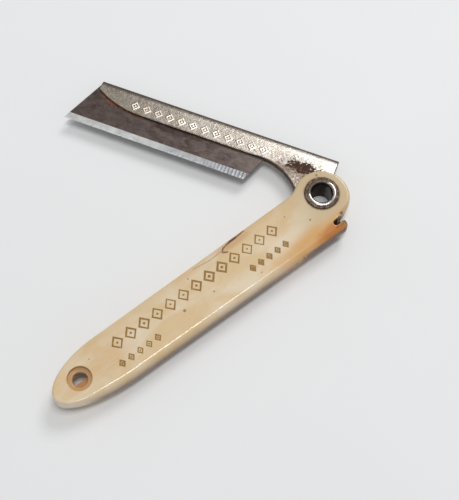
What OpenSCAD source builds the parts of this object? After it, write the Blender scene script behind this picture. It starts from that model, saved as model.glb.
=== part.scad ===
// Folding razor: a steel fold grips a slanted blade, and swings on a hollow eyelet
// into a slotted, round-backed moulded handle.
// Frame: origin on the pivot axis at mid thickness. The handle runs along -X,
// its slot faces +Y, its round back faces -Y, and the pivot axis is Z. Millimetres.

/* [Handle] */
// Length of the handle, from butt to pivot end
handle_length = 73; // [70:0.5:80]
// Thickness of the handle
handle_t = 5; // [4.6:0.1:6]
// Height of the slotted edge above the pivot axis
slot_edge = 3.6; // [3.2:0.1:3.9]
// Depth of the round back below the pivot axis, at the pivot end
back_depth = 8.8; // [8.6:0.1:9.6]
// Depth of the round back below the pivot axis, where the butt begins
back_depth_butt = 7.7; // [7:0.1:8.4]
// Radius of the back's rim on the front side; the rear side is full round
front_rim_r = 1.5; // [1:0.1:2]
// Radius of the round lobe at the pivot end
lobe_r = 5.75; // [5.6:0.05:6]
// Width of the slot that the blade folds into
slot_w = 1.6; // [1.5:0.1:2]
// Depth of the slot's floor below the pivot axis
slot_floor = 2.1; // [2:0.1:2.6]

/* [Lanyard hole] */
// Distance of the hole's centre from the butt
hole_from_butt = 6.1; // [5.5:0.1:7]
// Depth of the hole's centre below the pivot axis
hole_depth = 1.6; // [1:0.1:2]
// Radius of the counterbore in the front wall, and of the hole in the back wall
hole_wide_r = 2.4; // [2:0.1:2.6]
// Radius of the hole between the counterbore and the slot
hole_r = 1.5; // [1:0.1:1.8]
// Depth of the counterbore
counterbore_depth = 0.85; // [0.5:0.05:1.2]
// Depth of the slot's floor below the pivot axis, where the hole crosses it
web_depth = 1.8; // [1.5:0.1:2]

/* [Blade holder] */
// Thickness of the folded sheet
sheet_t = 0.5; // [0.4:0.05:0.55]
// Gap between the two leaves
leaf_gap = 0.3; // [0.28:0.01:0.35]
// Length from the pivot axis to the front end of the spine
holder_length = 53.5; // [50:0.1:56]
// Length of the square tail behind the pivot axis
tail_length = 0.75; // [0.6:0.05:0.8]
// Height of the spine's top above the pivot axis
spine_top = 9.5; // [9.4:0.1:10]
// Length over which the fold rounds off to its spine
spine_round = 1.8; // [1:0.1:2.4]
// Height of the leaves' lower edge above the pivot axis
leaf_edge = 4.2; // [4:0.1:4.6]
// Radius of the round tang about the pivot
tang_r = 5; // [4.5:0.1:5]

/* [Blade] */
// Length of the cutting edge
blade_length = 41.2; // [38:0.1:42]
// Thickness of the blade
blade_t = 0.25; // [0.1:0.01:0.26]
// Height of the whole blade, back to cutting edge
blade_h = 10.1; // [10:0.1:10.2]
// Height of the ground bevel
bevel_h = 1.45; // [1:0.05:2]
// Slant of the blade's ends from square
blade_slant = 22.3; // [15:0.1:25]

/* [Pivot] */
// Radius of the hole through the eyelet
bore_r = 2.1; // [2:0.05:2.2]
// Thickness of the eyelet's barrel
barrel_t = 0.35; // [0.25:0.05:0.35]
// Radius of the eyelet's back flange and of the washer
flange_r = 3.6; // [3.5:0.05:4]
// Thickness of the eyelet's back flange
flange_t = 0.6; // [0.5:0.05:0.8]
// Thickness of the washer under the clinched end
washer_t = 0.35; // [0.3:0.05:0.5]
// Height of the clinched lip above the washer
lip_h = 0.15; // [0.1:0.05:0.2]

/* [Pose] */
// Angle between blade holder and handle: 0 is folded
open_angle = 59.4; // [0:0.1:169.8]

/* [Hidden] */
$fn = 96;
reach = 200;                             // longer than the whole object
half_t = handle_t / 2;
barrel_r = bore_r + barrel_t;
running_gap = 0.05;                      // radial room of the tang and washer on the barrel
seat_gap = 0.03;                         // radial room of the barrel in the handle
arc_steps = 12;
spine_steps = 32;

// Handle plan
lobe_mid = [-0.25, -0.35];
butt_x = lobe_mid[0] + lobe_r - handle_length;
butt_edge_taper = 12.5;                  // length of the quarter ellipse on the slotted side
butt_back_taper = 16.8;                  // length of the quarter ellipse on the back's side
butt_mid_y = (slot_edge - back_depth_butt) / 2;
butt_half = (slot_edge + back_depth_butt) / 2;
back_end = 0.3;                          // where the round back stops, under the lobe
back_angle = atan((back_depth - back_depth_butt) / (back_end - butt_x - butt_back_taper));
shoulder_r = 4.5;                        // hollow blend from the lobe to the slotted edge
shoulder_rise = slot_edge + shoulder_r - lobe_mid[1];
shoulder_run = sqrt(pow(lobe_r + shoulder_r, 2) - pow(shoulder_rise, 2));
shoulder_mid = lobe_mid + [-shoulder_run, shoulder_rise];
shoulder_end = lobe_mid + (shoulder_mid - lobe_mid) * lobe_r / (lobe_r + shoulder_r);
hole_at = [butt_x + hole_from_butt, -hole_depth];
web_end = -58.4;                         // where the raised floor at the hole ends, past the blade
pocket_r = tang_r + 0.25;                // round room for the tang between the walls
tail_room = 0.6;                         // room for the tail's leaves left of the pivot axis

// Notch between the lobe and the round back
notch_w = 0.85;
notch_floor = 7.25;                      // depth of its lower side below the pivot axis
notch_length = 2;                        // from the pivot axis to the middle of its round end

// Holder section and plan
leaf_half = leaf_gap / 2 + sheet_t;      // from mid plane to a leaf's outer face
blade_seat = 1;                          // from the spine's top to where the fold closes inside
tip_end = [-holder_length, spine_top - 2.25];
tip_curve_start = [11 - holder_length, leaf_edge];
tip_curve_r = 21.3;
throat_r = 11.6;                         // hollow curve from the lower edge to the tang
throat_y = leaf_edge - throat_r;
throat_mid = [-sqrt(pow(throat_r + tang_r, 2) - pow(throat_y, 2)), throat_y];
throat_end = throat_mid * tang_r / (throat_r + tang_r);

// Blade plan
floor_room = 0.45;                       // gap from the cutting edge to the folded slot's floor
edge_y = floor_room - slot_floor;
blade_back = edge_y + blade_h;
blade_tip = [-57.8, edge_y];
edge_half = 0.01;                        // half the thickness left at the cutting edge

// Points of an arc of radius r from a to b, which bulges to the left of that way
function arc_between(a, b, r) =
    let (
        d = b - a,
        half = norm(d) / 2,
        c = (a + b) / 2 - [-d[1], d[0]] / norm(d) * sqrt(r * r - half * half),
        from = atan2(a[1] - c[1], a[0] - c[0]),
        sweep = -2 * asin(half / r)
    )
    [for (i = [0:arc_steps]) c + r * [cos(from + sweep * i / arc_steps), sin(from + sweep * i / arc_steps)]];

function reversed(points) = [for (i = [len(points) - 1:-1:0]) points[i]];

// Point of the butt's outline: a quarter ellipse of that length on each side of the tip
function butt_point(taper, a) = [butt_x + taper * (1 + cos(a)), butt_mid_y + butt_half * sin(a)];

// Runs a section drawn in Y and Z along the whole of X
module along_x() {
    translate([-reach / 2, 0, 0])
        rotate([90, 0, 90])
            linear_extrude(reach)
                children();
}

// Slab of a plan drawn in X and Y, centred on the mid plane
module slab(t) {
    translate([0, 0, -t / 2])
        linear_extrude(t)
            children();
}

module handle_plan() {
    polygon(concat(
        [[back_end, -back_depth], lobe_mid],
        arc_between(shoulder_end, [shoulder_mid[0], slot_edge], shoulder_r),
        [for (a = [90:5:180]) butt_point(butt_edge_taper, a)],
        [for (a = [185:5:270]) butt_point(butt_back_taper, a)]
    ));
    translate(lobe_mid)
        circle(lobe_r);
}

// Notch in the front wall at the end of the back, over the place that the holder's tail swings into
module stop_notch() {
    translate([-notch_length, notch_w / 2 - notch_floor])
        circle(notch_w / 2, $fn = 32);
    translate([-notch_length, -notch_floor])
        square([notch_length + 1, notch_w]);
}

// Back's section, its edge on Y = 0: a quarter round of the front rim above a half round
module round_back_section() {
    translate([half_t, 0])
        circle(half_t);
    translate([front_rim_r, half_t - front_rim_r])
        circle(front_rim_r);
    square([half_t, half_t - front_rim_r]);
    translate([front_rim_r, 0])
        square([half_t, half_t]);
    translate([half_t, -half_t])
        square([reach / 4, handle_t]);
}

module slot_plan() {
    translate([-reach / 2, -web_depth])
        square([reach, reach]);
    translate([web_end, -slot_floor])
        square([reach, reach]);
    circle(pocket_r);
    translate([-tail_room, -notch_floor])
        square([reach / 2, notch_floor]);
}

module handle() {
    color([0.85, 0.75, 0.58])
        difference() {
            intersection() {
                slab(handle_t)
                    handle_plan();
                translate([back_end, -back_depth, 0])
                    rotate([0, 0, -back_angle])
                        along_x()
                            round_back_section();
            }
            slab(slot_w)
                slot_plan();
            translate([0, 0, -slot_w / 2])
                linear_extrude(reach)
                    stop_notch();
            cylinder(h = reach, r = barrel_r + seat_gap, center = true);
            translate([hole_at[0], hole_at[1], slot_w / 2])
                cylinder(h = half_t, r = hole_r);
            translate([hole_at[0], hole_at[1], half_t - counterbore_depth])
                cylinder(h = half_t, r = hole_wide_r);
            translate([hole_at[0], hole_at[1], -slot_w / 2 - half_t])
                cylinder(h = half_t, r = hole_wide_r);
        }
}

// Places what is drawn in the folded position at the opening angle
module opened() {
    rotate([0, 0, -open_angle])
        children();
}

// Two straight sides that close in a half ellipse, drawn in Y and Z
module fold_section(half, start, top) {
    foot = -reach / 4;
    round = [for (i = [0:spine_steps]) 90 - 180 * i / spine_steps];
    polygon(concat(
        [[foot, -half], [foot, half]],
        [for (a = round) [start + (top - start) * cos(a), half * sin(a)]]
    ));
}

module holder_plan() {
    polygon(concat(
        [[0, 0], [tail_length, 0], [tail_length, spine_top], [-holder_length, spine_top]],
        reversed(arc_between(tip_curve_start, tip_end, tip_curve_r)),
        arc_between([throat_mid[0], leaf_edge], throat_end, throat_r)
    ));
    circle(tang_r);
}

module blade_holder() {
    color([0.72, 0.7, 0.66])
        opened()
            difference() {
                intersection() {
                    slab(handle_t)
                        holder_plan();
                    along_x()
                        difference() {
                            fold_section(leaf_half, spine_top - spine_round, spine_top);
                            fold_section(leaf_gap / 2, spine_top - blade_seat, spine_top - sheet_t);
                        }
                }
                cylinder(h = reach, r = barrel_r + running_gap, center = true);
            }
}

module razor_blade() {
    lean = blade_h * tan(blade_slant);
    color([0.4, 0.37, 0.36])
        opened()
            intersection() {
                slab(handle_t)
                    polygon([
                        blade_tip,
                        blade_tip + [blade_length, 0],
                        blade_tip + [blade_length + lean, blade_h],
                        blade_tip + [lean, blade_h]
                    ]);
                along_x()
                    polygon([
                        [edge_y, -edge_half],
                        [edge_y, edge_half],
                        [edge_y + bevel_h, blade_t / 2],
                        [blade_back, blade_t / 2],
                        [blade_back, -blade_t / 2],
                        [edge_y + bevel_h, -blade_t / 2]
                    ]);
            }
}

// Section of the barrel, which flares in a quarter round and lies flat on the washer
module clinched_barrel() {
    flare_r = 0.4;
    lip_edge = 3;
    clinch_z = half_t + washer_t;
    flare_mid = [bore_r + flare_r, clinch_z + lip_h - flare_r];
    round_mid = [lip_edge - lip_h, clinch_z];
    polygon(concat(
        [[bore_r, -half_t - flange_t], [barrel_r, -half_t - flange_t], [barrel_r, clinch_z]],
        [for (a = [0:15:90]) round_mid + lip_h * [cos(a), sin(a)]],
        [for (a = [90:6:180]) flare_mid + flare_r * [cos(a), sin(a)]]
    ));
}

module pivot_eyelet() {
    rim_r = flange_t / 2;
    color([0.7, 0.68, 0.65])
        rotate_extrude() {
            clinched_barrel();
            translate([barrel_r - barrel_t / 2, -half_t - flange_t])
                square([flange_r - rim_r - barrel_r + barrel_t / 2, flange_t]);
            translate([flange_r - rim_r, -half_t - rim_r])
                circle(rim_r, $fn = 48);
        }
}

module clinch_washer() {
    chamfer = 0.12;
    inner_r = barrel_r + running_gap;
    color([0.45, 0.42, 0.4])
        rotate_extrude()
            polygon([
                [inner_r, half_t],
                [flange_r, half_t],
                [flange_r, half_t + washer_t - chamfer],
                [flange_r - chamfer, half_t + washer_t],
                [inner_r, half_t + washer_t]
            ]);
}

handle();
blade_holder();
razor_blade();
pivot_eyelet();
clinch_washer();
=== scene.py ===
import math

import bpy
import numpy as np
from mathutils import Matrix, Vector


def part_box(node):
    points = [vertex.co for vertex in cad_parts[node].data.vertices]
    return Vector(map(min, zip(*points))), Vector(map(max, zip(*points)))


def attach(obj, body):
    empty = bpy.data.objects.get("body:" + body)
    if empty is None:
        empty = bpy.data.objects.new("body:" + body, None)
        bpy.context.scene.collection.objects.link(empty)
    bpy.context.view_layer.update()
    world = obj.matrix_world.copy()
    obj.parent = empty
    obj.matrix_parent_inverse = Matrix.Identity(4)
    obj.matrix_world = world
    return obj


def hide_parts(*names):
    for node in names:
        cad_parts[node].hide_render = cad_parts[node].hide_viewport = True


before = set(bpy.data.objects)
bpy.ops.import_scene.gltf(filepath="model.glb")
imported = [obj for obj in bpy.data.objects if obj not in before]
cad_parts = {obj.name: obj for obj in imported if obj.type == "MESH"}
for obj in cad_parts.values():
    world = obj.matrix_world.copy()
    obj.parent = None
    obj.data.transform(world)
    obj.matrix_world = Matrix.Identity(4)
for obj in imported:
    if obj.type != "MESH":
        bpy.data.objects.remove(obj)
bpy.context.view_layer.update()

MM = 0.001


# Sizes, in millimetres in the row's frame: the pivot axis is Z through the origin.

def box_mm(node):
    low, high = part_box(node)
    return np.array(low) / MM, np.array(high) / MM


HANDLE_LOW, HANDLE_HIGH = box_mm("handle")
EYELET_LOW, EYELET_HIGH = box_mm("pivot_eyelet")
WASHER_LOW, WASHER_HIGH = box_mm("clinch_washer")
HALF_T = HANDLE_HIGH[2]
BUTT_X = HANDLE_LOW[0]

# Handle's outline. The slotted edge is above the axis and the round back below it, and the back is less
# deep at the butt. It ends beside the lobe round the pivot.
SLOT_EDGE = 3.6
BACK_DEPTH = 8.8
BACK_DEPTH_BUTT = 7.7
BACK_END = 0.3
BACK_END_R = 1.3
LOBE_R = 5.75
LOBE = (HANDLE_HIGH[0] - LOBE_R, -0.35)
LOBE_FILLET_R = 0.3
SHOULDER_R = 4.5
EDGE_TAPER = 12.5
BACK_TAPER = 16.8
BUTT_MID_Y = (SLOT_EDGE - BACK_DEPTH_BUTT) / 2
BUTT_HALF = (SLOT_EDGE + BACK_DEPTH_BUTT) / 2
# How round its rims are, and how far its moulded faces wander from flat
RIM_R = 0.5
FRONT_RIM_R = 1.5
SURFACE_DIP = 0.012
# Slot: its floor lies SLOT_FLOOR below the axis, and WEB_DEPTH from WEB_END to the butt. The pocket takes the
# holder's tang, and its tail has its own room past the pivot.
HALF_SLOT = 0.8
SLOT_FLOOR = 2.1
WEB_DEPTH = 1.8
WEB_END = -58.4
POCKET_R = 5.25
TAIL_ROOM = 0.6
TAIL_DEPTH = 7.1
# Notch between the back's end and the lobe, the lanyard hole, and the hole for the eyelet
NOTCH_R = 0.52
NOTCH = (-1.9, -6.8)
NOTCH_OUTSIDE = (NOTCH[0] + 6, NOTCH[1] + 0.5)
HOLE = (BUTT_X + 6.1, -1.6)
HOLE_WIDE_R = 2.4
HOLE_R = 1.5
COUNTERBORE_DEPTH = 0.85
SEAT_R = 2.48

# Eyelet and the washer under its lip
BORE_R = 2.1
BORE_END_R = 0.25
BARREL_R = 2.45
FLARE_R = 0.55
LIP_EDGE = 3.0
WASHER_HOLE_R = BARREL_R + 0.05
WASHER_EDGE_R = 0.14

# Blade holder, in its folded place. The leaves' lower edge curves up to the tip from TIP_CURVE's first value,
# with the second as its radius, and sweeps round the throat into the tang.
OPEN = math.radians(59.4)
HALF_GAP = 0.15
HALF_SHEET = 0.25
HALF_FOLD = HALF_GAP + 2 * HALF_SHEET
TIP_X = -53.5
TAIL_X = 0.75
SPINE_TOP = 9.5
SPINE_ROUND = 1.8
LEAF_EDGE = 4.2
TIP_CURVE = (TIP_X + 11, 21.3)
THROAT_R = 11.6
TANG_R = 5.0
TANG_HOLE_R = 2.5
THROAT_Y = LEAF_EDGE - THROAT_R
THROAT = (-math.sqrt((THROAT_R + TANG_R) ** 2 - THROAT_Y ** 2), THROAT_Y)

# Blade, in its folded place: where its edge starts at the tip, its height, and the slant of its ends
EDGE_Y = -1.65
EDGE_X = -57.8
EDGE_LENGTH = 41.2
BLADE_H = 10.1
BLADE_T = 0.25
BEVEL_H = 1.45
SLANT = math.radians(22.3)
# Nicks in its edge: place along it, and depth
NICKS = ((6.1, 0.10), (9.3, 0.07), (13.0, 0.12), (17.4, 0.06), (24.8, 0.08), (31.0, 0.05), (37.6, 0.07))

# Lozenges, in the place of the lettering: rows of centres on the handle and on the folded holder
BORDER_ROW = [(x, -0.25) for x in np.linspace(-51.6, -13.4, 13)]
STUD_PITCH = 2.1
STUD_ROWS = [(start + STUD_PITCH * i, -4.2) for start in (-53.2, -21.4) for i in range(5)]
STAMPED_ROW = [(x, 6.0) for x in np.linspace(-44.5, -15.0, 12)]

# Brown spots on the handle: place and radius
SPOTS = ((-37.5, -3.0, 0.3), (-30.5, -3.4, 0.18), (-5.7, -3.1, 0.22), (1.8, 3.9, 0.24), (-20.6, -6.0, 0.14),
         (-33.0, 1.9, 0.16), (-9.4, 0.6, 0.14), (-57.8, 0.4, 0.12))

# Camera, fitted to the ellipses of the eyelet and the lanyard hole, and the lamps' aim
CAMERA_PLACE = (-70.8, -59.87, 184.1 + HALF_T)
CAMERA_TARGET = (-22.68, 1.718, HALF_T)
CAMERA_UP = (0.6157, 0.788, 0.0)
CAMERA_LENS = 72.0
LAMP_AIM = (-25.0, 10.0, 0.0)
LAMP_DISTANCE = 700.0
FLOOR_HALF = 600.0


# Solids as distance fields: negative inside, in millimetres.

def ramp01(value, start, end):
    t = np.clip((value - start) / (end - start), 0.0, 1.0)
    return t * t * (3.0 - 2.0 * t)


def meet(a, b, r=0.0):
    """Intersection, its edge rounded to radius r."""
    return np.minimum(-r, np.maximum(a, b)) + np.hypot(np.maximum(a + r, 0.0), np.maximum(b + r, 0.0))


def join(a, b, r=0.0):
    return -meet(-a, -b, r)


def cut(a, b, r=0.0):
    return meet(a, -b, r)


def disc(x, y, centre, r):
    return np.hypot(x - centre[0], y - centre[1]) - r


def quarter_ellipse(dx, dy, a, b):
    k0 = np.hypot(dx / a, dy / b)
    k1 = np.hypot(dx / a ** 2, dy / b ** 2)
    return k0 * (k0 - 1.0) / np.maximum(k1, 1e-9)


def capsule(x, y, a, b, r):
    bx, by = b[0] - a[0], b[1] - a[1]
    t = np.clip(((x - a[0]) * bx + (y - a[1]) * by) / (bx * bx + by * by), 0.0, 1.0)
    return np.hypot(x - a[0] - t * bx, y - a[1] - t * by) - r


def handle_plan(x, y):
    """Elliptical butt, straight edge, tapering back, round lobe, and a concave shoulder up to the edge."""
    edge_x, back_x = BUTT_X + EDGE_TAPER, BUTT_X + BACK_TAPER
    depth = BACK_DEPTH + (x - BACK_END) * (BACK_DEPTH - BACK_DEPTH_BUTT) / (BACK_END - back_x)
    dy = y - BUTT_MID_Y
    upper = np.where(x < edge_x, quarter_ellipse(x - edge_x, dy, EDGE_TAPER, BUTT_HALF), y - SLOT_EDGE)
    lower = np.where(x < back_x, quarter_ellipse(x - back_x, dy, BACK_TAPER, BUTT_HALF), -depth - y)
    body = meet(np.where(dy > 0, upper, lower), x - BACK_END, BACK_END_R)
    plan = join(body, disc(x, y, LOBE, LOBE_R), LOBE_FILLET_R)
    rise, reach = SLOT_EDGE + SHOULDER_R - LOBE[1], LOBE_R + SHOULDER_R
    run = math.sqrt(reach ** 2 - rise ** 2)
    shoulder = (LOBE[0] - run, LOBE[1] + rise)
    beside = ((x - LOBE[0]) * rise + (y - LOBE[1]) * run) / reach
    fillet = np.maximum(-disc(x, y, shoulder, SHOULDER_R), np.maximum(shoulder[0] - x, beside))
    return np.minimum(plan, np.maximum(fillet, -y))


def handle_field(x, y, z):
    """One moulding, with a slot for the blade: its back is full round behind and tighter in front, and its
    other rims are soft."""
    plan = handle_plan(x, y)
    uneven = 1 + np.sin(0.31 * x + 0.9) * np.sin(0.55 * y + 0.4 + 0.07 * x)
    along_back = ramp01(y, -4.6, -6.0) * ramp01(x, BUTT_X + 1.0, BUTT_X + 11.0)
    front_rim = RIM_R + (FRONT_RIM_R - RIM_R) * along_back
    rear_rim = RIM_R + (HALF_T - RIM_R) * ramp01(y, -1.2, -5.0)
    rim = np.where(z > 0, front_rim, rear_rim)
    body = meet(plan, np.abs(z) - HALF_T + SURFACE_DIP * uneven, rim)
    notch = capsule(x, y, NOTCH, NOTCH_OUTSIDE, NOTCH_R)
    body = cut(body, meet(notch, -HALF_SLOT - z), 0.2)
    tail = meet(-(x + TAIL_ROOM), -(y + TAIL_DEPTH), 0.2)
    floor = join(-(y + WEB_DEPTH), meet(WEB_END - x, -(y + SLOT_FLOOR)))
    slot = join(join(floor, disc(x, y, (0, 0), POCKET_R)), tail)
    body = cut(body, meet(slot, np.abs(z) - HALF_SLOT, 0.15), 0.22)
    hole = np.hypot(x - HOLE[0], y - HOLE[1])
    body = cut(body, meet(hole - HOLE_WIDE_R, HALF_T - COUNTERBORE_DEPTH - z), 0.14)
    body = cut(body, meet(hole - HOLE_R, HALF_SLOT - 0.05 - z), 0.1)
    body = cut(body, meet(hole - HOLE_WIDE_R, HALF_SLOT - 0.05 + z), 0.14)
    return cut(body, disc(x, y, (0, 0), SEAT_R), 0.05)


def holder_plan(x, y):
    tip_mid = (TIP_CURVE[0], LEAF_EDGE + TIP_CURVE[1])
    edge = np.where(x < TIP_CURVE[0], disc(x, y, tip_mid, TIP_CURVE[1]),
                    np.where(x < THROAT[0], LEAF_EDGE - y, -disc(x, y, THROAT, THROAT_R)))
    above_tang = (x * -THROAT[1] + y * THROAT[0]) / (THROAT_R + TANG_R)
    arm = meet(meet(np.maximum(edge, above_tang), TIP_X - x, 0.25), x - TAIL_X, 0.15)
    return join(arm, disc(x, y, (0, 0), TANG_R), 0.05)


def holder_field(x, y, z):
    """A strip of sheet folded over on itself, rounded off to its spine, seen in its folded place."""
    start = SPINE_TOP - SPINE_ROUND
    crown = np.where(y > start, quarter_ellipse(y - start, z, SPINE_ROUND, HALF_FOLD), np.abs(z) - HALF_FOLD)
    inside = meet(np.abs(z) - HALF_GAP, y - SPINE_TOP + 2 * HALF_SHEET, 0.14)
    sheet = np.maximum(crown, -inside)
    sheet = meet(sheet, holder_plan(x, y), 0.1)
    return cut(sheet, disc(x, y, (0, 0), TANG_HOLE_R), 0.05)


# Meshes from fields

def gradient(field, p):
    h = 0.01
    out = np.empty_like(p)
    for axis in range(3):
        step = np.zeros(3)
        step[axis] = h
        out[:, axis] = field(*(p + step).T) - field(*(p - step).T)
    return out / (2 * h)


def settle(field, p, reach):
    """Moves points onto the field's surface."""
    for _ in range(4):
        g = gradient(field, p)
        move = g * (field(*p.T) / np.maximum((g * g).sum(1), 0.05))[:, None]
        size = np.linalg.norm(move, axis=1)[:, None]
        p = p - move * np.minimum(1.0, reach / np.maximum(size, 1e-9))
    return p


def surface_net(field, low, high, cell):
    """Vertices and quads of the field's zero surface, one vertex in each cell that it crosses."""
    axes = [np.arange(low[i] - 2 * cell, high[i] + 3 * cell, cell) for i in range(3)]
    origin = np.array([a[0] for a in axes])
    x, y, z = np.meshgrid(*axes, indexing="ij", sparse=True)
    values = field(x, y, z)
    inside = values < 0
    count = sum(inside[i:i - 1 or None, j:j - 1 or None, k:k - 1 or None].astype(np.int8)
                for i in (0, 1) for j in (0, 1) for k in (0, 1))
    cells = np.argwhere((count > 0) & (count < 8))
    index = np.full(count.shape, -1, np.int32)
    index[tuple(cells.T)] = np.arange(len(cells))
    total, crossings = np.zeros((len(cells), 3)), np.zeros(len(cells))
    units = np.eye(3, dtype=int)
    for axis in range(3):
        u, v = units[(axis + 1) % 3], units[(axis + 2) % 3]
        for corner in (0 * u, u, v, u + v):
            start = cells + corner
            a, b = values[tuple(start.T)], values[tuple((start + units[axis]).T)]
            crossed = (a < 0) != (b < 0)
            point = start.astype(float)
            point[:, axis] += np.where(crossed, a / np.where(crossed, a - b, 1.0), 0.0)
            total[crossed] += point[crossed]
            crossings[crossed] += 1
    points = origin + cell * total / crossings[:, None]
    quads = []
    for axis in range(3):
        u, v = units[(axis + 1) % 3], units[(axis + 2) % 3]
        first = [slice(None)] * 3
        second = [slice(None)] * 3
        first[axis], second[axis] = slice(None, -1), slice(1, None)
        edges = np.argwhere(inside[tuple(first)] != inside[tuple(second)])
        ring = np.stack([index[tuple((edges - s).T)] for s in (0 * u, u, u + v, v)], 1)
        outward = inside[tuple(edges.T)]
        quads.append(np.where(outward[:, None], ring, ring[:, ::-1]))
    return points, np.concatenate(quads)


def add_object(name, data):
    obj = bpy.data.objects.new(name, data)
    bpy.context.collection.objects.link(obj)
    return obj


def new_mesh(name, points, faces):
    """An object from points in millimetres."""
    mesh = bpy.data.meshes.new(name)
    mesh.from_pydata((np.asarray(points, float) * MM).tolist(), [], faces)
    mesh.update()
    return add_object(name, mesh)


def grid_faces(rows, columns, closed=False):
    """Quads between rows of points, each row a loop; closed joins the last row to the first."""
    i, j = np.meshgrid(np.arange(rows - (not closed)), np.arange(columns), indexing="ij")
    here, after = i * columns, (i + 1) % rows * columns
    beside = (j + 1) % columns
    return np.stack([here + j, here + beside, after + beside, after + j], -1).reshape(-1, 4)


def apply_modifiers(obj):
    """Replaces obj's mesh with the one its modifiers make."""
    graph = bpy.context.evaluated_depsgraph_get()
    mesh = bpy.data.meshes.new_from_object(obj.evaluated_get(graph))
    obj.modifiers.clear()
    obj.data = mesh


def field_piece(name, field, low, high, cell, keep, turn=0.0):
    """A piece from its distance field, thinned where it is flat, then turned about the pivot axis."""
    points, quads = surface_net(field, low, high, cell)
    obj = new_mesh(name, settle(field, points, cell), quads.tolist())
    thin = obj.modifiers.new("thin", "DECIMATE")
    thin.ratio = keep
    apply_modifiers(obj)
    mesh = obj.data
    points = np.empty(len(mesh.vertices) * 3)
    mesh.vertices.foreach_get("co", points)
    points = settle(field, points.reshape(-1, 3) / MM, 0.02)
    normals = gradient(field, points)
    normals /= np.linalg.norm(normals, axis=1)[:, None]
    mesh.vertices.foreach_set("co", (points * MM).ravel())
    mesh.shade_smooth()
    mesh.normals_split_custom_set_from_vertices(normals.tolist())
    mesh.transform(Matrix.Rotation(turn, 4, "Z"))
    mesh.update()
    return obj


def turned_piece(name, profile, ring, wobble):
    """Turns a closed outline of (radius, height) about the pivot axis, slightly out of round outside."""
    profile = np.array(profile)
    angle = np.linspace(0, 2 * math.pi, ring, endpoint=False)[:, None]
    uneven = np.sin(3 * angle + 1.0) + 0.6 * np.sin(7 * angle + 2.2) + 0.4 * np.sin(19 * angle)
    radius = profile[:, 0] + wobble * uneven * np.clip((profile[:, 0] - 2.4) / 1.2, 0, 1)
    points = np.stack([radius * np.cos(angle), radius * np.sin(angle), profile[:, 1] + 0 * angle], -1)
    faces = grid_faces(ring, len(profile), closed=True)[:, [0, 3, 2, 1]]
    obj = new_mesh(name, points.reshape(-1, 3), faces.tolist())
    obj.data.shade_smooth()
    return obj


def arc(centre, r, start, end, steps):
    """Points of an arc, its angles in degrees."""
    angles = np.radians(np.linspace(start, end, steps))
    return [(centre[0] + r * math.cos(a), centre[1] + r * math.sin(a)) for a in angles]


def make_eyelet():
    """Hollow rivet: a bore that flares into a lip lying on the washer, a barrel and a round flange behind."""
    flange_r = EYELET_HIGH[0]
    back, clinch, crest = EYELET_LOW[2], WASHER_HIGH[2], EYELET_HIGH[2]
    flange_edge_r = (-HALF_T - back) / 2
    flare_r, flare_z = BORE_R + FLARE_R, crest - FLARE_R
    hair = 0.01
    profile = arc((flare_r, flare_z), FLARE_R, 180, 95, 14)
    lip_width, lip_height = LIP_EDGE - flare_r, crest - clinch
    lip_angles = np.linspace(0, 1.65, 9)
    profile += [(flare_r + lip_width * math.sin(a), clinch + lip_height * math.cos(a)) for a in lip_angles]
    profile += [(BARREL_R + 0.2, clinch + hair), (BARREL_R, clinch - 2 * hair), (BARREL_R, 0.0)]
    profile += [(BARREL_R, -HALF_T + 2 * hair), (BARREL_R + 3 * hair, -HALF_T - hair)]
    profile += arc((flange_r - flange_edge_r, -HALF_T - flange_edge_r), flange_edge_r, 90, -90, 12)
    profile += arc((BORE_R + BORE_END_R, back + BORE_END_R), BORE_END_R, 270, 180, 7)
    profile += [(BORE_R, z) for z in np.linspace(back + 2 * BORE_END_R, flare_z - 0.1, 8)]
    return turned_piece("eyelet", profile[::-1], 192, 0.014)


def make_washer():
    """A thin ring, its face a hair lower in the middle and its front edge round."""
    inner, outer = WASHER_HOLE_R, WASHER_HIGH[0]
    low, high = WASHER_LOW[2], WASHER_HIGH[2]
    profile = [(inner, low + 0.02), (inner, high - 0.03), (inner + 0.03, high)]
    profile += [(r, high - 0.01) for r in (2.95, 3.2)]
    profile += arc((outer - WASHER_EDGE_R, high - WASHER_EDGE_R), WASHER_EDGE_R, 90, 0, 6)
    profile += [(outer, low + 0.05), (outer - 0.04, low), (inner + 0.02, low)]
    return turned_piece("clinch_washer_ring", profile, 160, 0.012)


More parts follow.
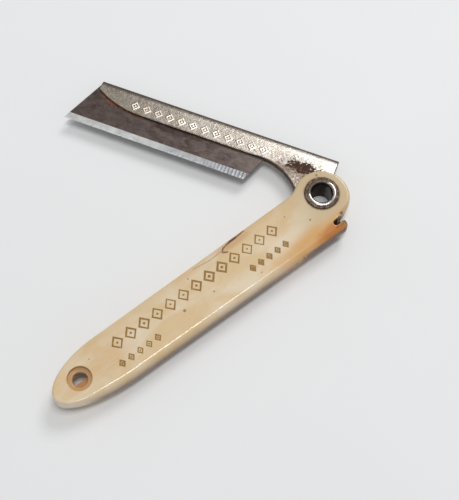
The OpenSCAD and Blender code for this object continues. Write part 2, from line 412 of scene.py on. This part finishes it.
def make_blade():
    """Ground strip: a thin wedge at the edge, square slanted ends, and small nicks in the edge."""
    half = BLADE_T / 2
    # One side of its section: height above the edge, and distance from mid thickness
    side = [(0.0, 0.0), (0.16, 0.02), (0.7, 0.066), (BEVEL_H - 0.03, half - 0.003), (BEVEL_H + 0.04, half)]
    side += [(y, half) for y in (3.2, 5.2, 7.4)] + [(BLADE_H - 0.05, half), (BLADE_H, half - 0.04)]
    loop = np.array(side + [(y, -z) for y, z in side[:0:-1]])
    height, depth = loop.T
    along = np.linspace(0.2, EDGE_LENGTH - 0.2, 240)
    along = np.concatenate([[0.0, 0.04], along, [EDGE_LENGTH - 0.04, EDGE_LENGTH]])
    nick = 0.012 * np.sin(1.7 * along) + 0.01 * np.sin(5.3 * along + 1) + 0.008 * np.sin(17 * along)
    for place, size in NICKS:
        nick += size * np.exp(-((along - place) / 0.18) ** 2)
    worn_ends = np.ones(len(along))
    worn_ends[[0, -1]] = 0.75
    x = EDGE_X + along[:, None] + height * math.tan(SLANT)
    y = EDGE_Y + height + nick[:, None] * np.clip(1 - height / 0.5, 0, 1)
    points = np.stack([x, y, depth * worn_ends[:, None]], -1)
    faces = grid_faces(len(along), len(loop)).tolist()
    first_end = list(range(len(loop)))
    faces += [first_end[::-1], [(len(along) - 1) * len(loop) + k for k in first_end]]
    blade = new_mesh("blade_strip", points.reshape(-1, 3), faces)
    blade.data.transform(Matrix.Rotation(-OPEN, 4, "Z"))
    blade.data.shade_smooth()
    blade.data.set_sharp_from_angle(angle=math.radians(3))
    return blade


def lozenge_border(name, centres, half_w, half_h, stroke, base, rise):
    """A row of open lozenges, each a low ridge, with a small pointed stud at its centre."""
    points, faces = [], []
    corners = ((1, 0), (0, 1), (-1, 0), (0, -1))
    for cx, cy in centres:
        faces += (len(points) + grid_faces(3, 4)).tolist()
        for shrink, z in ((0.0, base), (0.5, base + rise), (1.0, base)):
            k = 1 - shrink * stroke * math.hypot(half_w, half_h) / (half_w * half_h)
            points += [(cx + k * half_w * sx, cy + k * half_h * sy, z) for sx, sy in corners]
        stud = 0.9 * stroke
        first = len(points)
        faces += [(first + i, first + (i + 1) % 4, first + 4) for i in range(4)]
        points += [(cx + stud * sx, cy + stud * sy, base) for sx, sy in corners]
        points.append((cx, cy, base + rise))
    return new_mesh(name, points, faces)


# Materials

class Look:
    """A Principled material whose patterns are placed in millimetres, turned with the piece."""

    def __init__(self, name, turn=0.0, **constants):
        self.material = bpy.data.materials.new(name)
        self.material.use_nodes = True
        self.tree = self.material.node_tree
        self.shader = self.tree.nodes["Principled BSDF"]
        mapping = self.node("ShaderNodeMapping")
        mapping.inputs["Scale"].default_value = (1 / MM,) * 3
        mapping.inputs["Rotation"].default_value = (0, 0, turn)
        self.tree.links.new(self.node("ShaderNodeTexCoord").outputs["Object"], mapping.inputs[0])
        self.at = mapping.outputs[0]
        parts = self.node("ShaderNodeSeparateXYZ", self.at)
        self.x, self.y, self.z = parts.outputs
        self.plan = self.vector("MULTIPLY", self.at, (1.0, 1.0, 0.0))
        for socket, value in constants.items():
            self.set(socket.replace("_", " ").title().replace("Ior", "IOR"), value)

    def node(self, kind, *inputs, **settings):
        node = self.tree.nodes.new(kind)
        for key, value in settings.items():
            setattr(node, key, value)
        for socket, value in zip(node.inputs, inputs):
            self.put(socket, value)
        return node

    def put(self, socket, value):
        if isinstance(value, bpy.types.NodeSocket):
            self.tree.links.new(value, socket)
        elif value is not None:
            socket.default_value = value

    def set(self, socket, value):
        self.put(self.shader.inputs[socket], value)

    def math(self, operation, a, b=None, c=None, clamp=False):
        return self.node("ShaderNodeMath", a, b, c, operation=operation, use_clamp=clamp).outputs[0]

    def vector(self, operation, a, b, output="Vector"):
        return self.node("ShaderNodeVectorMath", a, b, operation=operation).outputs[output]

    def both(self, a, b):
        """Product: 1 where both masks are 1."""
        return self.math("MULTIPLY", a, b)

    def either(self, a, b):
        return self.math("MAXIMUM", a, b)

    def hypot(self, dx, dy):
        return self.math("SQRT", self.math("MULTIPLY_ADD", dx, dx, self.math("MULTIPLY", dy, dy)))

    def step(self, value, low, high):
        """0 below low, 1 above high, smooth between; low may be the larger."""
        node = self.node("ShaderNodeMapRange", interpolation_type="SMOOTHSTEP")
        flip = low > high
        for name, entry in zip(("Value", "From Min", "From Max", "To Min", "To Max"),
                               (value, min(low, high), max(low, high), float(flip), float(not flip))):
            self.put(node.inputs[name], entry)
        return node.outputs[0]

    def noise(self, scale, detail=3.0, rough=0.5, stretch=None, warp=0.0):
        at = self.vector("MULTIPLY", self.at, stretch) if stretch else self.at
        node = self.node("ShaderNodeTexNoise")
        entries = {"Vector": at, "Scale": scale, "Detail": detail, "Roughness": rough, "Distortion": warp}
        for name, entry in entries.items():
            self.put(node.inputs[name], entry)
        return node.outputs[0]

    def ragged(self, value, scale, detail, amount):
        """The value, made uneven by noise."""
        uneven = self.math("SUBTRACT", self.noise(scale, detail, 0.6), 0.5)
        return self.math("MULTIPLY_ADD", uneven, amount, value)

    def mix(self, factor, a, b, blend="MIX"):
        node = self.node("ShaderNodeMix", data_type="RGBA", blend_type=blend)
        for name, entry in (("Factor_Float", factor), ("A_Color", a), ("B_Color", b)):
            socket = next(q for q in node.inputs if q.identifier == name)
            self.put(socket, (*entry, 1.0) if isinstance(entry, tuple) else entry)
        return next(q for q in node.outputs if q.identifier == "Result_Color")

    def tint(self, base, mask, strength, colour):
        """Lays colour over base where mask is 1, at that strength."""
        return self.mix(self.math("MULTIPLY", mask, strength), base, colour)

    def away(self, x, y):
        """Distance from the line through (x, y) that runs along the pivot axis."""
        return self.hypot(self.math("SUBTRACT", self.x, x), self.math("SUBTRACT", self.y, y))

    def line(self, points, width):
        """A thin soft line through points: 1 on it, 0 beside it."""
        nearest = 1000.0
        for a, b in zip(points, points[1:]):
            a, b = Vector((*a, 0)), Vector((*b, 0))
            out = self.vector("SUBTRACT", self.plan, a[:])
            along = self.vector("DOT_PRODUCT", out, ((b - a) / (b - a).length_squared)[:], "Value")
            foot = self.node("ShaderNodeVectorMath", (b - a)[:], operation="SCALE")
            self.put(foot.inputs["Scale"], self.math("MULTIPLY", along, 1.0, clamp=True))
            nearest = self.math("MINIMUM", self.vector("DISTANCE", out, foot.outputs[0], "Value"), nearest)
        return self.step(self.ragged(nearest, 2.0, 3, 2.5 * width), 1.6 * width, 0.4 * width)

    def between(self, factor, a, b):
        """The number that goes from a to b as factor goes from 0 to 1."""
        return self.math("MULTIPLY_ADD", factor, b - a, a)

    def patch(self, x, y, rx, ry, ragged=0.5, scale=0.8, soft=0.6):
        """A ragged oval stain: 1 in its middle, 0 outside."""
        dx = self.math("DIVIDE", self.math("SUBTRACT", self.x, x), rx)
        dy = self.math("DIVIDE", self.math("SUBTRACT", self.y, y), ry)
        away = self.ragged(self.hypot(dx, dy), scale, 4, 2 * ragged)
        return self.step(away, 1.0 + soft / 2, 1.0 - soft / 2)

    def bump(self, height, depth_mm):
        node = self.node("ShaderNodeBump")
        self.put(node.inputs["Distance"], depth_mm * MM)
        self.put(node.inputs["Height"], height)
        self.set("Normal", node.outputs[0])


def srgb(r, g, b):
    """Linear colour of an 8-bit screen colour."""
    return tuple(((c / 255 + 0.055) / 1.055) ** 2.4 if c > 10 else c / 255 / 12.92 for c in (r, g, b))


def ivory_ground(look):
    """Cloudy ivory with a faint grain, browner towards the slotted edge and the lobe."""
    cloud = look.step(look.noise(0.11, 3, 0.5, (1.0, 1.8, 1.0), 0.4), 0.36, 0.64)
    colour = look.mix(cloud, srgb(231, 213, 184), srgb(222, 194, 150))
    grain = look.noise(1.1, 5, 0.6, (0.35, 1.0, 1.0))
    colour = look.tint(colour, look.step(grain, 0.4, 0.75), 0.12, srgb(206, 172, 122))
    colour = look.tint(colour, look.step(look.y, 0.2, 4.0), 0.45, srgb(206, 172, 120))
    colour = look.tint(colour, look.step(look.x, -14.0, 0.0), 0.8, srgb(199, 176, 136))
    colour = look.tint(colour, look.patch(-54.5, -1.5, 4.5, 2.6, 0.4, 0.3, 1.2), 0.5, srgb(214, 176, 124))
    return look.tint(colour, look.patch(-12.0, -0.5, 3.0, 1.8, 0.4, 0.3, 1.4), 0.45, srgb(212, 170, 116))


def back_stains_and_shade(look, colour, under):
    """Brown under the round back, partly stain and partly painted shade where it turns under, amber towards
    its end, and dark flecks there.
    """
    # Partly a brown stain and partly painted shade: the round back drawn darker brown as it turns under.
    colour = look.tint(colour, under, 0.85, srgb(122, 84, 48))
    colour = look.tint(colour, look.patch(-7.5, -6.9, 9.5, 2.0, 0.35, 0.35, 1.3), 0.85, srgb(214, 160, 88))
    colour = look.tint(colour, look.patch(-2.9, -7.8, 4.6, 1.3, 0.4, 0.6, 1.0), 0.85, srgb(194, 118, 44))
    flecks = look.both(look.patch(-4.5, -9.0, 7.5, 1.6, 1.1, 1.4, 0.3), look.step(look.z, 2.1, 1.2))
    return look.tint(colour, flecks, 0.9, srgb(78, 45, 25))


def butt_scratches_and_glints(look, colour):
    """Pale streaks along the grain at the butt: scratches, drawn paler partly as painted highlight."""
    streaks = look.step(look.noise(1.0, 2, 0.5, (0.15, 9.0, 1.0)), 0.56, 0.64)
    streaks = look.both(streaks, look.patch(-54.5, -0.5, 5.0, 3.4, 0.4, 0.5, 0.8))
    # Partly scratch wear and partly painted highlight: the streaks lightened as if catching the light.
    return look.tint(colour, streaks, 0.45, srgb(238, 224, 198))


def notch_shade(look, colour, notch):
    """Painted shade in the notch and on the back's end beside it, and a dark brown patch on the lobe's rim
    above it.
    """
    # Painted shade: the notch's cavity drawn near black.
    colour = look.tint(colour, notch, 0.97, srgb(34, 21, 15))
    # Painted shade: a dark band along the back's end beside the notch.
    end = look.both(look.patch(0.0, -8.0, 0.9, 1.6, 0.6, 1.4, 0.4), look.step(look.x, -0.55, -0.2))
    colour = look.tint(colour, end, 0.9, srgb(54, 31, 19))
    return look.tint(colour, look.patch(0.4, -5.75, 0.4, 0.25, 0.6, 2.0, 0.5), 0.85, srgb(104, 72, 36))


def edge_cracks(look, colour, vein, crack):
    """Brown cracks in the slotted edge, in a stained patch."""
    colour = look.tint(colour, look.patch(-21.0, 2.6, 3.6, 0.9, 0.3, 0.8, 1.0), 0.4, srgb(188, 136, 84))
    colour = look.tint(colour, look.either(vein, look.both(crack, 0.5)), 0.85, srgb(112, 70, 42))
    return look.tint(colour, look.patch(-20.9, 3.2, 1.0, 0.25, 0.5, 1.5, 0.5), 0.8, srgb(70, 38, 22))


def hole_stains(look, colour):
    """Amber in the lanyard hole, dirt round the eyelet, and brown spots."""
    hole = look.away(*HOLE)
    wide = look.step(hole, HOLE_WIDE_R + 0.2, HOLE_WIDE_R - 0.02)
    colour = look.tint(colour, wide, 0.8, srgb(190, 142, 82))
    colour = look.tint(colour, look.step(hole, HOLE_R + 0.15, HOLE_R - 0.05), 0.7, srgb(176, 118, 66))
    grime = look.step(look.math("MULTIPLY_ADD", look.noise(1.5, 3), 0.6, look.away(0, 0)), 4.3, 3.85)
    colour = look.tint(colour, grime, 0.6, srgb(124, 88, 54))
    for x, y, r in SPOTS:
        colour = look.tint(colour, look.patch(x, y, r, r, 0.4, 3.0, 0.8), 0.7, srgb(112, 72, 36))
    return colour


def ivory_look():
    look = Look("aged_ivory_plastic", subsurface_weight=0.1, subsurface_scale=0.001, specular_ior_level=0.25,
                coat_roughness=0.1)
    look.shader.inputs["Subsurface Radius"].default_value = (1.0, 0.55, 0.3)
    # The round back's underside, where brown stain and painted shade are laid and the coat is thinned.
    under = look.both(look.step(look.z, 2.45, 0.3), look.step(look.y, -5.5, -7.2))
    # Where the notch's cavity is drawn dark as painted shade, below the front face.
    notch = look.line([NOTCH, (0.6, NOTCH[1] + 0.3)], 0.9)
    notch = look.both(look.both(notch, look.step(look.z, 2.49, 2.4)), look.step(look.y, -5.9, -6.2))
    vein = [(-18.0, 3.35), (-20.2, 3.1), (-22.4, 3.0), (-23.6, 2.75), (-24.15, 2.15), (-23.3, 1.65)]
    vein = look.line(vein, 0.16)
    crack = look.line([(-24.3, 2.5), (-27.0, 2.35), (-31.0, 2.9)], 0.1)
    colour = back_stains_and_shade(look, ivory_ground(look), under)
    colour = notch_shade(look, butt_scratches_and_glints(look, colour), notch)
    colour = edge_cracks(look, colour, vein, crack)
    look.set("Base Color", hole_stains(look, colour))
    look.set("Roughness", look.between(look.step(look.noise(0.5, 4, 0.6), 0.3, 0.75), 0.3, 0.46))
    look.set("Coat Weight", look.between(look.either(notch, look.both(under, 0.85)), 0.9, 0.0))
    scratches = look.noise(1.0, 4, 0.65, (0.25, 6.0, 1.0), 0.15)
    wear = look.math("ADD", look.noise(0.45, 2), scratches)
    look.bump(look.math("SUBTRACT", wear, look.either(vein, crack)), 0.022)
    return look.material


def inlay_look():
    look = Look("worn_gold_paint", roughness=0.5)
    worn = look.step(look.noise(1.6, 4, 0.65), 0.5, 0.72)
    look.set("Base Color", look.mix(worn, srgb(146, 106, 34), srgb(180, 142, 70)))
    look.bump(look.noise(3.0, 3, 0.6), 0.03)
    return look.material


def plate_wear_and_shade(look):
    """Nickel plate, duller towards the tip, pitted and dirty at the leaf edge, with painted shade at the
    spine, throat and tail.
    """
    colour = look.mix(look.step(look.x, -4.0, -20.0), srgb(222, 216, 208), srgb(188, 179, 168))
    colour = look.tint(colour, look.step(look.x, -28.0, -52.0), 0.7, srgb(158, 148, 134))
    blotch = look.step(look.noise(0.35, 4, 0.6), 0.42, 0.7)
    colour = look.tint(colour, blotch, 0.4, srgb(158, 143, 124))
    pits = look.step(look.noise(3.2, 3, 0.6), 0.62, 0.7)
    colour = look.tint(colour, pits, 0.5, srgb(104, 86, 68))
    # Painted shade: the plate drawn dark towards the spine, standing in for the round fold's dark reflection.
    spine_painted_shade = look.step(look.y, SPINE_TOP - 1.7, SPINE_TOP - 0.3)
    colour = look.tint(colour, spine_painted_shade, 0.85, srgb(88, 79, 72))
    grime = look.math("ADD", look.noise(0.9, 4, 0.6), look.y)
    grime = look.step(grime, LEAF_EDGE + 0.95, LEAF_EDGE + 0.55)
    colour = look.tint(colour, grime, 0.6, srgb(92, 68, 50))
    # Painted shade: dark lines along the throat's curve and the tail's end, where the cut edges fall in
    # shadow.
    throat = look.step(look.away(*THROAT), THROAT_R + 0.4, THROAT_R + 0.15)
    tail = look.step(look.x, TAIL_X - 0.25, TAIL_X - 0.05)
    return look.tint(colour, look.either(throat, tail), 0.8, srgb(60, 52, 46))


def holder_look():
    look = Look("worn_nickel_steel", OPEN, metallic=1.0)
    rust = look.patch(-6.0, 5.0, 3.6, 1.3, 1.5, 2.2, 0.25)
    halo = look.patch(-7.5, 4.6, 5.0, 2.4, 1.5, 1.9, 0.8)
    colour = look.tint(plate_wear_and_shade(look), halo, 0.25, srgb(118, 84, 54))
    around = look.patch(-6.5, 4.5, 6.5, 3.6, 0.6, 0.8, 0.8)
    specks = look.both(look.step(look.noise(2.4, 4, 0.8), 0.56, 0.6), around)
    colour = look.tint(colour, specks, 0.85, srgb(66, 50, 38))
    rusty = look.mix(look.step(look.noise(1.7, 3, 0.6), 0.46, 0.68), srgb(56, 34, 23), srgb(116, 74, 42))
    look.set("Base Color", look.mix(rust, colour, rusty))
    corroded = look.either(rust, look.both(halo, 0.4))
    look.set("Metallic", look.between(corroded, 1.0, 0.15))
    rough = look.between(look.step(look.noise(0.8, 4, 0.6), 0.35, 0.7), 0.28, 0.42)
    look.set("Roughness", look.math("MULTIPLY_ADD", corroded, 0.4, rough))
    dented = look.math("MULTIPLY_ADD", look.noise(1.4, 2), 1.2, look.noise(4.5, 4, 0.6))
    look.bump(look.math("SUBTRACT", dented, look.both(corroded, look.noise(6.0, 3))), 0.035)
    return look.material


def blade_patina(look, mottle):
    """Dark mottled steel, with pale specks and a patch of painted shadow below the holder's leaf edge."""
    colour = look.mix(mottle, srgb(110, 98, 92), srgb(74, 62, 59))
    colour = look.tint(colour, look.step(look.x, -24.0, -14.0), 0.5, srgb(116, 106, 100))
    colour = look.tint(colour, look.step(look.noise(0.22, 3), 0.52, 0.7), 0.4, srgb(84, 80, 86))
    colour = look.tint(colour, look.step(look.noise(2.6, 3, 0.7), 0.66, 0.72), 0.5, srgb(170, 162, 156))
    # Painted shadow: a dark patch on the blade just below the holder's leaf edge.
    colour = look.tint(colour, look.patch(-34.0, 3.6, 5.0, 0.8, 1.1, 0.8, 0.6), 0.5, srgb(52, 38, 34))
    return look.tint(colour, look.step(look.noise(1.3, 5, 0.75), 0.56, 0.7), 0.5, srgb(64, 50, 46))


def blade_bevel(look, grind):
    """Bright ground steel, lightened towards the tip as painted highlight, with chatter marks towards the
    heel.
    """
    colour = look.mix(look.step(grind, 0.35, 0.7), srgb(190, 192, 193), srgb(150, 152, 155))
    # Painted highlight: the bevel drawn brighter towards the tip.
    colour = look.tint(colour, look.step(look.x, -22.0, -52.0), 0.9, srgb(236, 236, 232))
    teeth = look.step(look.math("SINE", look.math("MULTIPLY", look.x, 8.0)), 0.0, 0.8)
    chatter = look.both(teeth, look.step(look.x, -30.0, -19.0))
    return look.tint(colour, chatter, 0.75, srgb(104, 106, 112))


def blade_look():
    look = Look("patinated_blade_steel", OPEN, metallic=1.0)
    mottle = look.step(look.noise(0.6, 5, 0.7, (0.8, 1.2, 1.0), 0.3), 0.3, 0.72)
    rust = look.line([(-52.6, 7.0), (-51.2, 5.6), (-49.0, 4.9), (-46.0, 4.35), (-42.0, 4.1)], 0.36)
    rust = look.both(rust, look.between(look.step(look.noise(0.9, 3, 0.6), 0.4, 0.6), 0.35, 1.0))
    rusty = look.mix(look.step(look.noise(1.6, 2), 0.4, 0.6), srgb(84, 48, 34), srgb(140, 80, 42))
    colour = look.mix(rust, blade_patina(look, mottle), rusty)
    ground = look.step(look.y, EDGE_Y + BEVEL_H + 0.06, EDGE_Y + BEVEL_H - 0.02)
    grind = look.noise(1.0, 3, 0.6, (9.0, 0.25, 0.25))
    look.set("Base Color", look.mix(ground, colour, blade_bevel(look, grind)))
    look.set("Metallic", look.between(rust, 1.0, 0.3))
    rough = look.between(mottle, 0.4, 0.52)
    look.set("Roughness", look.math("SUBTRACT", rough, look.both(ground, 0.12)))
    brushed = look.noise(1.0, 3, 0.6, (0.4, 9.0, 1.0))
    height = look.math("ADD", look.noise(2.0, 4, 0.6), look.both(grind, ground))
    look.bump(look.math("MULTIPLY_ADD", brushed, 0.4, height), 0.02)
    return look.material


def eyelet_look():
    look = Look("polished_nickel", metallic=1.0)
    # Painted shade: the inside of the bore, drawn dark.
    bore = look.step(look.away(0, 0), BORE_R + 0.3, BORE_R + 0.1)
    colour = look.mix(look.step(look.noise(1.6, 4, 0.6), 0.42, 0.7), srgb(204, 198, 190), srgb(160, 150, 138))
    # Painted reflection: the roll's upper side drawn dark and made rougher, as it mirrors the dark
    # surroundings.
    across = look.math("MULTIPLY_ADD", look.x, 0.14, look.y)
    painted_dark_side = look.step(look.math("MULTIPLY_ADD", look.noise(1.8, 4, 0.6), 1.6, across), 1.5, 2.2)
    colour = look.tint(colour, painted_dark_side, 0.9, srgb(84, 72, 60))
    # Painted shade in the bore.
    colour = look.tint(colour, bore, 0.9, srgb(50, 43, 39))
    look.set("Base Color", colour)
    rough = look.between(look.step(look.noise(2.5, 4, 0.6), 0.35, 0.75), 0.14, 0.34)
    look.set("Roughness", look.math("MULTIPLY_ADD", painted_dark_side, 0.35, rough))
    look.bump(look.noise(3.0, 3, 0.6), 0.012)
    return look.material


def washer_look():
    look = Look("tarnished_steel", metallic=0.9)
    colour = look.mix(look.step(look.noise(1.7, 4, 0.65), 0.4, 0.66), srgb(66, 54, 46), srgb(114, 99, 84))
    look.set("Base Color", colour)
    look.set("Roughness", look.between(look.step(look.noise(2.2, 3), 0.3, 0.7), 0.3, 0.6))
    look.bump(look.noise(3.5, 4, 0.6), 0.06)
    return look.material


def floor_look():
    look = Look("pale_floor", roughness=0.8)
    soft = look.noise(0.02, 3, 0.5)
    look.set("Base Color", look.mix(soft, srgb(243, 243, 243), srgb(237, 237, 236)))
    return look.material


# Scene

def finish_piece(piece, material, body, node):
    piece.data.materials.clear()
    piece.data.materials.append(material)
    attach(piece, body)
    if node:
        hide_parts(node)


def axes_at(place, right, up, back):
    """The matrix of an object at a place, its own X, Y and Z along these three."""
    return Matrix.Translation(place) @ Matrix((right, up, back)).transposed().to_4x4()


def make_camera():
    place = Vector(CAMERA_PLACE) * MM
    back = (place - Vector(CAMERA_TARGET) * MM).normalized()
    up = Vector(CAMERA_UP)
    up = (up - back * up.dot(back)).normalized()
    data = bpy.data.cameras.new("camera")
    data.sensor_width = 36.0
    data.lens = CAMERA_LENS
    data.clip_start = 0.01
    camera = add_object("camera", data)
    camera.matrix_world = axes_at(place, up.cross(back), up, back)
    bpy.context.scene.camera = camera


def make_lamp(name, direction, size, watts):
    """An oval soft lamp in that direction from the razor, facing it."""
    data = bpy.data.lights.new(name, "AREA")
    data.shape = "ELLIPSE"
    data.size, data.size_y = size
    data.energy = watts
    back = Vector(direction).normalized()
    across = Vector((1, 0, 0)) - back * back.x
    across.normalize()
    place = (Vector(LAMP_AIM) + back * LAMP_DISTANCE) * MM
    add_object(name, data).matrix_world = axes_at(place, across, back.cross(across), back)


def make_world():
    world = bpy.data.worlds.new("world")
    world.use_nodes = True
    background = world.node_tree.nodes["Background"]
    background.inputs["Color"].default_value = (0.95, 0.97, 1.0, 1)
    background.inputs["Strength"].default_value = 0.37
    bpy.context.scene.world = world


def make_floor():
    """A square under the eyelet's flange, on which the razor lies."""
    corners = ((-1, -1), (1, -1), (1, 1), (-1, 1))
    points = [(FLOOR_HALF * x, FLOOR_HALF * y, EYELET_LOW[2]) for x, y in corners]
    floor = new_mesh("floor", points, [(0, 1, 2, 3)])
    floor.data.materials.append(floor_look())


def add_handle():
    handle = field_piece("handle_moulding", handle_field, HANDLE_LOW, HANDLE_HIGH, 0.16, 0.3)
    finish_piece(handle, ivory_look(), "handle_assembly", "handle")


def add_holder(steel):
    low = np.array([TIP_X, -TANG_R, -HALF_FOLD])
    high = np.array([TANG_R, SPINE_TOP, HALF_FOLD])
    holder = field_piece("folded_holder", holder_field, low, high, 0.13, 0.35, -OPEN)
    finish_piece(holder, steel, "blade_assembly", "blade_holder")


def add_engraving():
    rows = (("engraved_border", BORDER_ROW, 1.45, 1.65), ("engraved_studs", STUD_ROWS, 0.85, 1.05))
    for name, centres, half_w, half_h in rows:
        inlay = lozenge_border(name, centres, half_w, half_h, 0.45, HALF_T - 0.022, 0.045)
        finish_piece(inlay, inlay_look(), "handle_assembly", None)


def add_stamping(steel):
    stamping = lozenge_border("stamped_border", STAMPED_ROW, 1.15, 1.15, 0.5, HALF_FOLD - 0.005, 0.065)
    stamping.data.transform(Matrix.Rotation(-OPEN, 4, "Z"))
    finish_piece(stamping, steel, "blade_assembly", None)


bpy.context.scene.view_settings.view_transform = "Standard"
make_camera()
make_lamp("overhead", (0.05, -0.07, 0.98), (0.34, 0.14), 1.7)
make_lamp("window", (0.62, 0.24, 0.75), (0.3, 0.3), 1.5)
make_world()
make_floor()
add_handle()
holder_steel = holder_look()
add_holder(holder_steel)
add_engraving()
add_stamping(holder_steel)
finish_piece(make_blade(), blade_look(), "blade_assembly", "razor_blade")
finish_piece(make_eyelet(), eyelet_look(), "handle_assembly", "pivot_eyelet")
finish_piece(make_washer(), washer_look(), "handle_assembly", "clinch_washer")
